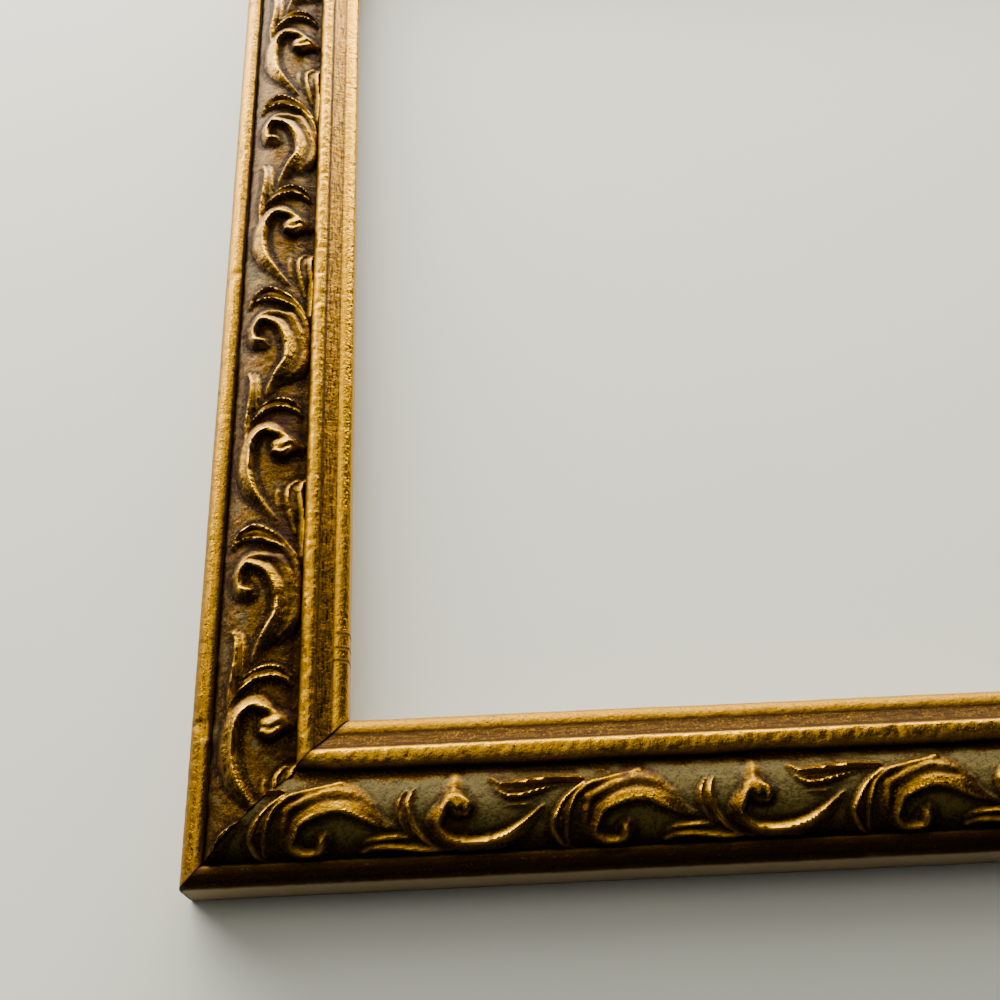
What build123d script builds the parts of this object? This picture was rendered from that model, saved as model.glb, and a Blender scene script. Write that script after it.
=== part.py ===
from build123d import *
import os

# Gilded picture frame for an 8 x 10 inch picture, lying on its back with its face up.
# X runs along the bottom rail, Y up the picture and Z out of the face.
# The origin is under the middle of the frame, on the plane of the back.
# All lengths are in millimetres. A run is measured in from the outer wall of a rail, a height
# up from the back. A rail's length runs counter-clockwise round the frame, seen from the face.

# Picture and fitting
picture_width = 203.2
picture_height = 254.0
fitting_allowance = 3.2
rabbet_width = 6.4
rabbet_depth = 6.8

# Section of the moulding, from the outer wall to the sight edge
moulding_width = 29.0
wall_height = 9.1
outer_bead_shoulder_run = 0.6
outer_bead_shoulder_height = 10.0
outer_bead_crest_run = 1.9
outer_bead_crest_height = 10.3
outer_bead_edge_run = 3.4
outer_bead_edge_height = 10.5
dome_start = 3.9
dome_end = 20.2
dome_edge_height = 10.2
dome_crest_height = 13.6
inner_bead_foot_height = 10.7
inner_bead_shoulder_run = 20.9
inner_bead_shoulder_height = 12.4
inner_bead_crest_run = 22.0
inner_bead_crest_height = 13.1
inner_bead_edge_run = 22.7
inner_bead_edge_height = 12.8
recess_start = 23.2
recess_start_height = 12.4
lip_start = 26.2
lip_start_height = 10.5
lip_crest_run = 27.5
lip_crest_height = 10.8
sight_edge_height = 9.7

# Pressed ornament, laid over the dome with a little stretch on the long rails
ornament_base_thickness = 1.5
short_rail_pitch = 58.4
long_rail_pitch = 61.0
body_relief = 1.7
curl_radius = 1.6
curl_lift = 0.3
tendril_relief = 0.9
small_leaf_relief = 0.8
leaf_half_width = 2.6
tendril_half_width = 1.0
small_leaf_half_width = 1.2
form_sink = 0.5
bottom_phase_share = 0.145
right_phase_share = 0.62
top_phase_share = 0.38
left_phase_share = 0.71

# Corner V-nails, driven into the back across each mitre
nail_height = 6.0
nail_sink = 0.3
nail_leg = 4.2
nail_thickness = 0.5
nail_fit = 0.05
outer_nail_run = 8.0
inner_nail_run = 16.5

# Strap hangers, let into the back of the side rails
hanger_from_top = 96.0
hanger_run = 12.0
strap_width = 9.0
strap_length = 24.0
strap_thickness = 0.6
strap_end_radius = 3.0
wire_diameter = 1.6
wire_clearance = 0.06
ring_reach = 13.0
ring_end_play = 0.5
ring_corner_radius = 1.2
strap_screw_spacing = 9.0
strap_screw_end = 5.0
hanger_pocket_depth = 3.1
hanger_pocket_margin = 1.2
hanger_pocket_radius = 3.0

# Turn buttons, one at the middle of each rail
button_pivot_from_rabbet = 4.6
button_reach = 10.4
button_heel_radius = 3.8
button_tip_radius = 2.2
button_thickness = 0.9
button_face_gap = 0.1
button_pocket_depth = 2.3
button_pocket_clearance = 0.6

# Round-head wood screws
shank_diameter = 2.4
shank_clearance = 0.08
pilot_clearance = 0.02
head_diameter = 4.6
head_height = 0.9
head_rim_height = 0.3
screw_bite = 5.0
screw_point_length = 1.6
slot_width = 0.6
slot_depth = 0.4

cut_overrun = 2.0

# Sizes that follow
sight_width = picture_width + fitting_allowance - 2 * rabbet_width
sight_height = picture_height + fitting_allowance - 2 * rabbet_width
frame_width = sight_width + 2 * moulding_width
frame_height = sight_height + 2 * moulding_width
rabbet_wall = moulding_width - rabbet_width
dome_width = dome_end - dome_start
dome_middle = (dome_start + dome_end) / 2
dome_rise = dome_crest_height - dome_edge_height
dome_radius = ((dome_width / 2) ** 2 + dome_rise**2) / (2 * dome_rise)
button_pivot_run = rabbet_wall - button_pivot_from_rabbet
button_seat = button_pocket_depth - button_thickness - 2 * button_face_gap
strap_seat = hanger_pocket_depth - strap_thickness
loop_inner_radius = wire_diameter / 2 + wire_clearance
loop_outer_radius = loop_inner_radius + strap_thickness
loop_height = hanger_pocket_depth - loop_outer_radius
ring_half_width = strap_width / 2 + ring_end_play + ring_corner_radius
first_strap_screw = strap_screw_end - strap_length
strap_screws = [(first_strap_screw, 0), (first_strap_screw + strap_screw_spacing, 0)]

# Each rail has a plane on its outer wall: X along the rail, Y inwards and Z up
bottom = Plane((0, -frame_height / 2, 0), x_dir=(1, 0, 0))
right = Plane((frame_width / 2, 0, 0), x_dir=(0, 1, 0))
top = Plane((0, frame_height / 2, 0), x_dir=(-1, 0, 0))
left = Plane((-frame_width / 2, 0, 0), x_dir=(0, -1, 0))
rails = {
    "bottom": (bottom, frame_width, short_rail_pitch, bottom_phase_share),
    "right": (right, frame_height, long_rail_pitch, right_phase_share),
    "top": (top, frame_width, short_rail_pitch, top_phase_share),
    "left": (left, frame_height, long_rail_pitch, left_phase_share),
}

# Each corner has a plane on the two outer walls, X along the rail that starts there
corners = {
    "bottom_left": Plane((-frame_width / 2, -frame_height / 2, 0), x_dir=(1, 0, 0)),
    "bottom_right": Plane((frame_width / 2, -frame_height / 2, 0), x_dir=(0, 1, 0)),
    "top_right": Plane((frame_width / 2, frame_height / 2, 0), x_dir=(-1, 0, 0)),
    "top_left": Plane((-frame_width / 2, frame_height / 2, 0), x_dir=(0, -1, 0)),
}

# Each hanger has a plane under its ring's bar, X up the picture and Z into the wood
hanger_line = frame_height / 2 - hanger_from_top
hangers = {
    "left": Plane((hanger_run - frame_width / 2, hanger_line, 0), x_dir=(0, 1, 0)),
    "right": Plane((frame_width / 2 - hanger_run, hanger_line, 0), x_dir=(0, 1, 0)),
}


def cross_plane(place):
    """Plane across a rail: X inwards, Y up, facing along the rail."""
    return Plane(place.origin, x_dir=place.y_dir, z_dir=place.x_dir)


def mitres(place, length):
    """The 45 degree cuts at a rail's two ends, each facing away from the rail."""
    ends = []
    for side in (1, -1):
        corner = place.origin + place.x_dir * (side * length / 2)
        ends.append(Plane(corner, z_dir=place.x_dir * side + place.y_dir))
    return ends


def save(piece, name):
    piece.part.label = name
    export_step(piece.part, f"parts/{name}.step")


# Two V-nails at a corner, seen in plan: each has a leg along either rail and bends on the
# mitre. Growth opens the same outline into its slot in the wood.
def nail_plan(place, growth):
    with BuildSketch(place) as plan:
        for run in (outer_nail_run, inner_nail_run):
            near = run - growth
            bend = run + nail_thickness + growth
            far = run + nail_leg + growth
            with BuildLine():
                Polyline(
                    (near, near), (far, near), (far, bend), (bend, bend), (bend, far), (near, far), close=True
                )
            make_face()
    return plan.sketch


def dome_arc(depth):
    """The line of the domed ground in section, or of the wood that lies under it by a depth."""
    edge = dome_edge_height - depth
    ThreePointArc((dome_start, edge), (dome_middle, dome_crest_height - depth), (dome_end, edge))


def moulding_section(place):
    with BuildSketch(cross_plane(place)) as section:
        with BuildLine():
            Polyline((0, 0), (0, wall_height))
            ThreePointArc(
                (0, wall_height),
                (outer_bead_shoulder_run, outer_bead_shoulder_height),
                (outer_bead_crest_run, outer_bead_crest_height),
            )
            Polyline(
                (outer_bead_crest_run, outer_bead_crest_height),
                (outer_bead_edge_run, outer_bead_edge_height),
                (dome_start, dome_edge_height),
                (dome_start, dome_edge_height - ornament_base_thickness),
            )
            dome_arc(ornament_base_thickness)
            Polyline(
                (dome_end, dome_edge_height - ornament_base_thickness),
                (dome_end, inner_bead_foot_height),
            )
            ThreePointArc(
                (dome_end, inner_bead_foot_height),
                (inner_bead_shoulder_run, inner_bead_shoulder_height),
                (inner_bead_crest_run, inner_bead_crest_height),
            )
            Polyline(
                (inner_bead_crest_run, inner_bead_crest_height),
                (inner_bead_edge_run, inner_bead_edge_height),
                (recess_start, recess_start_height),
                (lip_start, lip_start_height),
            )
            ThreePointArc(
                (lip_start, lip_start_height),
                (lip_crest_run, lip_crest_height),
                (moulding_width, sight_edge_height),
            )
            Polyline(
                (moulding_width, sight_edge_height),
                (moulding_width, rabbet_depth),
                (rabbet_wall, rabbet_depth),
                (rabbet_wall, 0),
                (0, 0),
            )
        make_face()
    return section.sketch


# Half-round pocket, open to the rabbet, in which a turn button swings
def button_pocket(place):
    radius = button_reach + button_pocket_clearance
    outer_side = button_pivot_run - button_heel_radius - button_pocket_clearance
    inner_side = rabbet_wall + cut_overrun
    with BuildSketch(place) as pocket:
        with Locations((0, button_pivot_run)):
            Circle(radius)
        with Locations((0, (outer_side + inner_side) / 2)):
            Rectangle(2 * radius, inner_side - outer_side, mode=Mode.INTERSECT)
    return pocket.sketch


# Round-cornered pocket that takes a strap hanger with its ring folded flat
def hanger_pocket(place):
    low = -strap_length - hanger_pocket_margin
    high = ring_reach + hanger_pocket_margin
    width = 2 * ring_half_width + wire_diameter + 2 * hanger_pocket_margin
    with BuildSketch(place) as pocket:
        with Locations(((low + high) / 2, 0)):
            RectangleRounded(high - low, width, hanger_pocket_radius)
    return pocket.sketch


def pilot_holes(place, spots):
    with BuildSketch(place) as holes:
        with Locations(*spots):
            Circle(shank_diameter / 2 + pilot_clearance)
    return holes.sketch


def rail(side, place, length):
    hole_bite = screw_bite + pilot_clearance
    with BuildPart() as stick:
        extrude(moulding_section(place), amount=length / 2, both=True)
        for cut in mitres(place, length):
            split(bisect_by=cut, keep=Keep.BOTTOM)
        extrude(button_pocket(place), amount=button_pocket_depth, mode=Mode.SUBTRACT)
        button_hole = pilot_holes(place, [(0, button_pivot_run)])
        extrude(button_hole, amount=button_pocket_depth + hole_bite, mode=Mode.SUBTRACT)
        if side in hangers:
            extrude(hanger_pocket(hangers[side]), amount=hanger_pocket_depth, mode=Mode.SUBTRACT)
            strap_holes = pilot_holes(hangers[side], strap_screws)
            extrude(strap_holes, amount=hanger_pocket_depth + hole_bite, mode=Mode.SUBTRACT)
        for corner in corners.values():
            extrude(nail_plan(corner, nail_fit), amount=nail_sink + nail_height + nail_fit, mode=Mode.SUBTRACT)
    save(stick, f"{side}_rail")


def on_dome(place, pitch, along, inward):
    """A point on the domed ground and the upward direction of the ground there."""
    run = dome_start + inward * dome_width
    offset = run - dome_middle
    lift = (dome_radius**2 - offset**2) ** 0.5
    foot = place.from_local_coords((along * pitch, run, dome_crest_height - dome_radius + lift))
    return foot, place.y_dir * offset + place.z_dir * lift


# A raised form of the ornament is a loft along a line on the ground. Each station holds a
# share of the pitch along the rail, a share of the dome's width inwards from the outer bead,
# and shares of the form's half width and relief. The crest lies off the middle by a share of
# the half width, to the left of the line where it is positive.
def raised_form(place, pitch, stations, half_width, relief, crest_share):
    spots = [on_dome(place, pitch, along, inward) for along, inward, _, _ in stations]
    with BuildPart(mode=Mode.PRIVATE) as form:
        for index, (_, _, width_share, relief_share) in enumerate(stations):
            foot, upward = spots[index]
            before, _ = spots[max(index - 1, 0)]
            after, _ = spots[min(index + 1, len(spots) - 1)]
            heading = after - before
            width = half_width * width_share
            crest = relief * relief_share
            with BuildSketch(Plane(foot, x_dir=upward.cross(heading), z_dir=heading)):
                with BuildLine():
                    Polyline(
                        (-width, -form_sink),
                        (width, -form_sink),
                        (width * (crest_share + shoulder_share), crest * shoulder_height_share),
                        (width * crest_share, crest),
                        (width * (crest_share - shoulder_share), crest * shoulder_height_share),
                        close=True,
                    )
                make_face()
        loft(ruled=True)
    return form.part


# Leaf A rises from a curl near the outer bead and arches over it
leaf_a_shares = [
    (-0.035, 0.20, 0.40, 0.55),
    (-0.062, 0.42, 0.58, 0.80),
    (-0.012, 0.64, 0.92, 1.00),
    (0.070, 0.75, 1.00, 1.00),
    (0.165, 0.66, 0.80, 0.85),
    (0.245, 0.47, 0.42, 0.60),
    (0.295, 0.34, 0.12, 0.15),
]
# Leaf B hangs from a curl near the inner bead and sweeps under it
leaf_b_shares = [
    (0.430, 0.72, 0.45, 0.60),
    (0.404, 0.52, 0.58, 0.85),
    (0.440, 0.31, 0.88, 1.00),
    (0.525, 0.19, 0.96, 1.00),
    (0.615, 0.24, 0.80, 0.85),
    (0.695, 0.42, 0.42, 0.60),
    (0.742, 0.60, 0.12, 0.15),
]
short_tendril_shares = [
    (0.330, 0.86, 0.60, 0.60),
    (0.298, 0.60, 1.00, 1.00),
    (0.320, 0.30, 1.00, 1.00),
    (0.380, 0.10, 0.40, 0.40),
]
long_tendril_shares = [
    (0.925, 0.88, 0.50, 0.60),
    (0.848, 0.66, 1.00, 1.00),
    (0.792, 0.36, 1.10, 1.00),
    (0.778, 0.08, 0.50, 0.40),
]
upper_leaf_shares = [
    (0.545, 0.91, 0.30, 0.50),
    (0.630, 0.80, 1.00, 1.00),
    (0.740, 0.82, 0.90, 1.00),
    (0.880, 0.91, 0.25, 0.30),
]
lower_leaf_shares = [
    (0.120, 0.28, 0.30, 0.40),
    (0.180, 0.18, 0.95, 1.00),
    (0.280, 0.13, 0.85, 0.90),
    (0.390, 0.08, 0.25, 0.30),
]
curl_a_shares = (0.000, 0.24)
curl_b_shares = (0.462, 0.70)
leaf_a_crest_share = -0.25
leaf_b_crest_share = 0.25
shoulder_share = 0.45
shoulder_height_share = 0.75


# One repeat of the running scroll, from its own start
def repeat(place, pitch):
    forms = [
        raised_form(place, pitch, leaf_a_shares, leaf_half_width, body_relief, leaf_a_crest_share),
        raised_form(place, pitch, leaf_b_shares, leaf_half_width, body_relief, leaf_b_crest_share),
        raised_form(place, pitch, short_tendril_shares, tendril_half_width, tendril_relief, 0),
        raised_form(place, pitch, long_tendril_shares, tendril_half_width, tendril_relief, 0),
        raised_form(place, pitch, upper_leaf_shares, small_leaf_half_width, small_leaf_relief, 0),
        raised_form(place, pitch, lower_leaf_shares, small_leaf_half_width, small_leaf_relief, 0),
    ]
    with BuildPart(mode=Mode.PRIVATE) as unit:
        add(forms)
        for along, inward in (curl_a_shares, curl_b_shares):
            foot, upward = on_dome(place, pitch, along, inward)
            with Locations(Location(foot + upward.normalized() * curl_lift)):
                Sphere(curl_radius)
    return unit.part


# An ornament strip is pressed as one long run and cut with the rail at its mitres
def ornament(side, place, length, pitch, phase_share):
    with BuildPart() as strip:
        with BuildSketch(cross_plane(place)):
            with BuildLine():
                Line((dome_start, dome_edge_height), (dome_start, dome_edge_height - ornament_base_thickness))
                dome_arc(ornament_base_thickness)
                Line((dome_end, dome_edge_height - ornament_base_thickness), (dome_end, dome_edge_height))
                dome_arc(0)
            make_face()
        extrude(amount=length / 2, both=True)
        unit = repeat(place, pitch)
        count = int(length / pitch) + 2
        starts = [(index - 1 + phase_share) * pitch - length / 2 for index in range(count)]
        add([unit.moved(Location(place.x_dir * start)) for start in starts])
        for cut in mitres(place, length):
            split(bisect_by=cut, keep=Keep.BOTTOM)
    save(strip, f"{side}_ornament")


# Screws point into the wood; the seat is the height of the underside of the head
def screws(name, place, spots, seat, wood):
    with BuildPart() as group:
        for spot in spots:
            foot = place.from_local_coords((*spot, 0))
            with BuildSketch(Plane(foot, x_dir=place.x_dir, z_dir=-place.y_dir)):
                with BuildLine():
                    Polyline(
                        (0, wood + screw_bite),
                        (shank_diameter / 2, wood + screw_bite - screw_point_length),
                        (shank_diameter / 2, seat),
                        (head_diameter / 2, seat),
                        (head_diameter / 2, seat - head_rim_height),
                    )
                    ThreePointArc(
                        (head_diameter / 2, seat - head_rim_height),
                        (head_diameter / 3, seat - (head_height + head_rim_height) / 2),
                        (0, seat - head_height),
                    )
                    Line((0, seat - head_height), (0, wood + screw_bite))
                make_face()
            revolve(axis=Axis(foot, place.z_dir))
        with BuildSketch(place.offset(seat - head_height)):
            with Locations(*spots):
                Rectangle(head_diameter + cut_overrun, slot_width)
        extrude(amount=slot_depth, mode=Mode.SUBTRACT)
    save(group, name)


def turn_button(name, place):
    with BuildPart() as button:
        with BuildSketch(place.offset(button_seat + button_face_gap)):
            with Locations((0, button_pivot_run)):
                Circle(button_heel_radius)
            with Locations((button_reach - button_tip_radius, button_pivot_run)):
                Circle(button_tip_radius)
            make_hull()
            with Locations((0, button_pivot_run)):
                Circle(shank_diameter / 2 + shank_clearance, mode=Mode.SUBTRACT)
        extrude(amount=button_thickness)
    save(button, name)


# The strap is one strip folded round the ring's bar; the fold is a closed eye
def hanger_plate(name, place):
    with BuildPart() as plate:
        with BuildSketch(Plane(place.origin, x_dir=place.x_dir, z_dir=-place.y_dir)):
            with Locations((-strap_length / 2, hanger_pocket_depth - strap_thickness / 2)):
                Rectangle(strap_length, strap_thickness)
            with Locations((0, loop_height)):
                Circle(loop_outer_radius)
                Circle(loop_inner_radius, mode=Mode.SUBTRACT)
        extrude(amount=strap_width / 2, both=True)
        far_end = plate.edges().filter_by(Axis.Z).group_by(Axis.Y)[0]
        fillet(far_end, strap_end_radius)
        with BuildSketch(place):
            with Locations(*strap_screws):
                Circle(shank_diameter / 2 + shank_clearance)
        extrude(amount=hanger_pocket_depth, mode=Mode.SUBTRACT)
    save(plate, name)


# D-ring: a straight bar through the eye, two short sides and a round bow
def hanger_ring(name, place):
    bow_start = ring_reach - wire_diameter / 2 - ring_half_width
    with BuildPart() as ring:
        with BuildLine(place.offset(loop_height)) as path:
            FilletPolyline(
                (bow_start, ring_half_width),
                (0, ring_half_width),
                (0, -ring_half_width),
                (bow_start, -ring_half_width),
                radius=ring_corner_radius,
            )
            ThreePointArc(
                (bow_start, -ring_half_width),
                (bow_start + ring_half_width, 0),
                (bow_start, ring_half_width),
            )
        with BuildSketch(path.line ^ 0):
            Circle(wire_diameter / 2)
        sweep()
    save(ring, name)


def corner_nails(name, place):
    with BuildPart() as nails:
        extrude(nail_plan(place.offset(nail_sink), 0), amount=nail_height)
    save(nails, name)


os.makedirs("parts", exist_ok=True)
for side, (place, length, pitch, phase_share) in rails.items():
    rail(side, place, length)
    ornament(side, place, length, pitch, phase_share)
    turn_button(f"{side}_turn_button", place)
    screws(f"{side}_button_screw", place, [(0, button_pivot_run)], button_seat, button_pocket_depth)
for side, place in hangers.items():
    hanger_plate(f"{side}_hanger_plate", place)
    hanger_ring(f"{side}_hanger_ring", place)
    screws(f"{side}_hanger_screws", place, strap_screws, strap_seat, hanger_pocket_depth)
for corner, place in corners.items():
    corner_nails(f"{corner}_v_nails", place)
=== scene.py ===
import math

import bpy
import numpy as np
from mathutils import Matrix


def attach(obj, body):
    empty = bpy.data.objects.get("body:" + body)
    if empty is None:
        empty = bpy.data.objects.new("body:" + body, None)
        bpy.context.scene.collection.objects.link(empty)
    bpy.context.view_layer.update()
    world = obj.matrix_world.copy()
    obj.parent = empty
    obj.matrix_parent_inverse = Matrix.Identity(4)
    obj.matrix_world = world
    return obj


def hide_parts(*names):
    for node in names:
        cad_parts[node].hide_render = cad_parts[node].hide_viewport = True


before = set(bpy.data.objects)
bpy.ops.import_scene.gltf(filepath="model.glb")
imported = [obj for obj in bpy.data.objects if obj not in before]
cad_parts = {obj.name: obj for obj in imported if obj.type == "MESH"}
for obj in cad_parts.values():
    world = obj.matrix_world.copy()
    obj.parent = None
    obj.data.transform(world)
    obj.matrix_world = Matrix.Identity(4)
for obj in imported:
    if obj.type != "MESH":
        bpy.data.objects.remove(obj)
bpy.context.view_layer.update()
bpy.ops.object.select_all(action="DESELECT")
print("frame loaded:", len(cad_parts), "parts")

mm = 0.001


def hexColour(text):  # sRGB hex to linear, with full alpha
    channels = [int(text[i:i + 2], 16) / 255 for i in (1, 3, 5)]
    return [c / 12.92 if c <= 0.04045 else ((c + 0.055) / 1.055) ** 2.4 for c in channels] + [1.0]


def perMm(size):  # texture scale for a pattern whose grains are this many millimetres apart
    return 1000 / size


# Settings go by the name or number of an input, or by the name of a property. A socket is linked, text on an input
# is a hex colour, and stops are the places of a ramp with their hex colours or greys.
def addNode(tree, kind, settings):
    node = tree.nodes.new("ShaderNode" + kind)
    for key, value in settings.items():
        if key == "stops":
            ramp = node.color_ramp
            while len(ramp.elements) < len(value):
                ramp.elements.new(0.5)
            for element, (place, tone) in zip(ramp.elements, value):
                element.position = place
                element.color = hexColour(tone) if isinstance(tone, str) else [tone] * 3 + [1]
        elif isinstance(value, bpy.types.NodeSocket):
            tree.links.new(value, node.inputs[key])
        elif isinstance(key, int) or key in node.inputs:
            node.inputs[key].default_value = hexColour(value) if isinstance(value, str) else value
        else:
            setattr(node, key, value)
    return node


def newMaterial(name):
    material = bpy.data.materials.new(name)
    material.use_nodes = True
    material.node_tree.nodes.clear()
    return material, material.node_tree


def cellNoise(x, y, cell, seed):  # smooth value noise, 0 to 1, for shaping meshes
    gx, gy = np.asarray(x) / cell, np.asarray(y) / cell
    ix, iy = np.floor(gx).astype(np.int64), np.floor(gy).astype(np.int64)
    fx, fy = gx - ix, gy - iy
    fx, fy = fx * fx * (3 - 2 * fx), fy * fy * (3 - 2 * fy)

    def corner(a, b):  # large odd factors scatter the grid's corners
        mixed = (a * 374761393 + b * 668265263 + seed * 974711) & 0xFFFFFFFF
        mixed = ((mixed ^ (mixed >> 13)) * 1274126177) & 0xFFFFFFFF
        return ((mixed ^ (mixed >> 16)) & 0xFFFF) / 65535.0

    low = corner(ix, iy) * (1 - fx) + corner(ix + 1, iy) * fx
    high = corner(ix, iy + 1) * (1 - fx) + corner(ix + 1, iy + 1) * fx
    return low * (1 - fy) + high * fy


def layeredNoise(x, y, cell, seed, layers=3):
    total, weight = 0, 0
    for layer in range(layers):
        share = 0.55 ** layer
        total = total + share * cellNoise(x, y, cell * 0.5 ** layer, seed + layer)
        weight += share
    return total / weight


def smoothStep(low, high, value):
    t = np.clip((value - low) / (high - low), 0, 1)
    return t * t * (3 - 2 * t)


def between(value, low, lowFull, highFull, high):  # 0 outside low and high, 1 from lowFull to highFull
    return smoothStep(low, lowFull, value) * (1 - smoothStep(highFull, high, value))


def lineAt(value, place, width):  # 1 on a line, and next to nothing at twice its width
    return np.exp(-((value - place) / width) ** 2)


# The rails in millimetres: where each starts, which way it runs, which way is inwards, and its outer length
railPlan = {
    "bottom": {"start": (-125.8, -151.2), "along": (1, 0), "inward": (0, 1), "length": 251.6},
    "right": {"start": (125.8, -151.2), "along": (0, 1), "inward": (-1, 0), "length": 302.4},
    "top": {"start": (125.8, 151.2), "along": (-1, 0), "inward": (0, -1), "length": 251.6},
    "left": {"start": (-125.8, 151.2), "along": (0, -1), "inward": (1, 0), "length": 302.4},
}


def toWorld(side, along, run, height):
    plan = railPlan[side]
    x = plan["start"][0] + plan["along"][0] * along + plan["inward"][0] * run
    y = plan["start"][1] + plan["along"][1] * along + plan["inward"][1] * run
    return np.stack([x, y, height], axis=-1).reshape(-1, 3) * mm


def arcThrough(first, middle, last, count):
    (ax, ay), (bx, by), (cx, cy) = first, middle, last
    a2, b2, c2 = ax**2 + ay**2, bx**2 + by**2, cx**2 + cy**2
    d = 2 * (ax * (by - cy) + bx * (cy - ay) + cx * (ay - by))
    ux = (a2 * (by - cy) + b2 * (cy - ay) + c2 * (ay - by)) / d
    uy = (a2 * (cx - bx) + b2 * (ax - cx) + c2 * (bx - ax)) / d
    radius = math.hypot(ax - ux, ay - uy)
    begin = math.atan2(ay - uy, ax - ux)
    end = math.atan2(cy - uy, cx - ux)
    turn = (end - begin + math.pi) % (2 * math.pi) - math.pi
    angles = [begin + turn * i / count for i in range(count + 1)]
    return [(ux + radius * math.cos(angle), uy + radius * math.sin(angle)) for angle in angles]


def straight(first, last, count):
    return [(first[0] + (last[0] - first[0]) * i / count, first[1] + (last[1] - first[1]) * i / count)
            for i in range(count + 1)]


def outwardFrom(path):  # the direction square to a section's line at each of its points
    step = np.gradient(path, axis=0)
    normal = np.stack([-step[:, 1], step[:, 0]], axis=-1)
    return normal / np.linalg.norm(normal, axis=1, keepdims=True)


# A grid is laid out, wrapped round the rail's section, seamed, and closed at its two mitres. The raised function
# gives each point its worn place, and the four masks of wear, painted highlight and painted shade that the finish
# reads.
def sweptPiece(name, side, runs, heights, gapStart, gapEnd, columns, raised):
    rows = runs.shape[0]
    length = railPlan[side]["length"]
    bpy.ops.mesh.primitive_grid_add(x_subdivisions=columns, y_subdivisions=rows - 1, size=1)
    piece = bpy.context.object
    piece.name = piece.data.name = name
    share = np.linspace(0, 1, columns + 1)[None, :]
    first = runs[:, None] + gapStart
    last = length - runs[:, None] - gapEnd
    along = first + (last - first) * share
    runGrid = np.repeat(runs[:, None], columns + 1, axis=1)
    runGrid, heightGrid, masks = raised(along, runGrid, np.repeat(heights[:, None], columns + 1, axis=1))
    piece.data.vertices.foreach_set("co", toWorld(side, along, runGrid, heightGrid).ravel())
    layer = piece.data.attributes.new("wear", "FLOAT_COLOR", "POINT")
    layer.data.foreach_set("color", np.stack(masks, axis=-1).astype(np.float32).ravel())

    # the UV map is the rail's band rolled out flat, in metres
    faceCorners = np.zeros(len(piece.data.loops), dtype=np.int32)
    piece.data.loops.foreach_get("vertex_index", faceCorners)
    girth = np.concatenate([[0], np.cumsum(np.hypot(np.diff(runs), np.diff(heights)))])
    band = np.stack([along, np.repeat(girth[:, None], columns + 1, axis=1)], axis=-1).reshape(-1, 2) * mm
    piece.data.uv_layers[0].data.foreach_set("uv", band[faceCorners].astype(np.float32).ravel())
    piece.data.uv_layers[0].name = "band"

    # the first and the last row lie on each other, so only they are chosen and merged
    bpy.ops.object.mode_set(mode="EDIT")
    bpy.ops.mesh.select_mode(type="VERT")
    bpy.ops.mesh.select_all(action="DESELECT")
    bpy.ops.object.mode_set(mode="OBJECT")
    chosen = np.zeros((rows, columns + 1), dtype=bool)
    chosen[[0, -1]] = True
    piece.data.vertices.foreach_set("select", chosen.ravel())
    bpy.ops.object.mode_set(mode="EDIT")
    bpy.ops.mesh.remove_doubles(threshold=1e-7)

    # the open edges left are the two mitres
    bpy.ops.mesh.select_mode(type="EDGE")
    bpy.ops.mesh.select_all(action="DESELECT")
    bpy.ops.mesh.select_non_manifold(
        extend=False, use_wire=False, use_boundary=True, use_multi_face=False,
        use_non_contiguous=False, use_verts=False,
    )
    bpy.ops.mesh.fill(use_beauty=False)
    bpy.ops.mesh.select_all(action="SELECT")
    bpy.ops.mesh.normals_make_consistent(inside=False)
    bpy.ops.object.mode_set(mode="OBJECT")
    bpy.ops.object.shade_smooth_by_angle(angle=math.radians(55))
    piece.select_set(False)
    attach(piece, "frame")
    return piece


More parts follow.
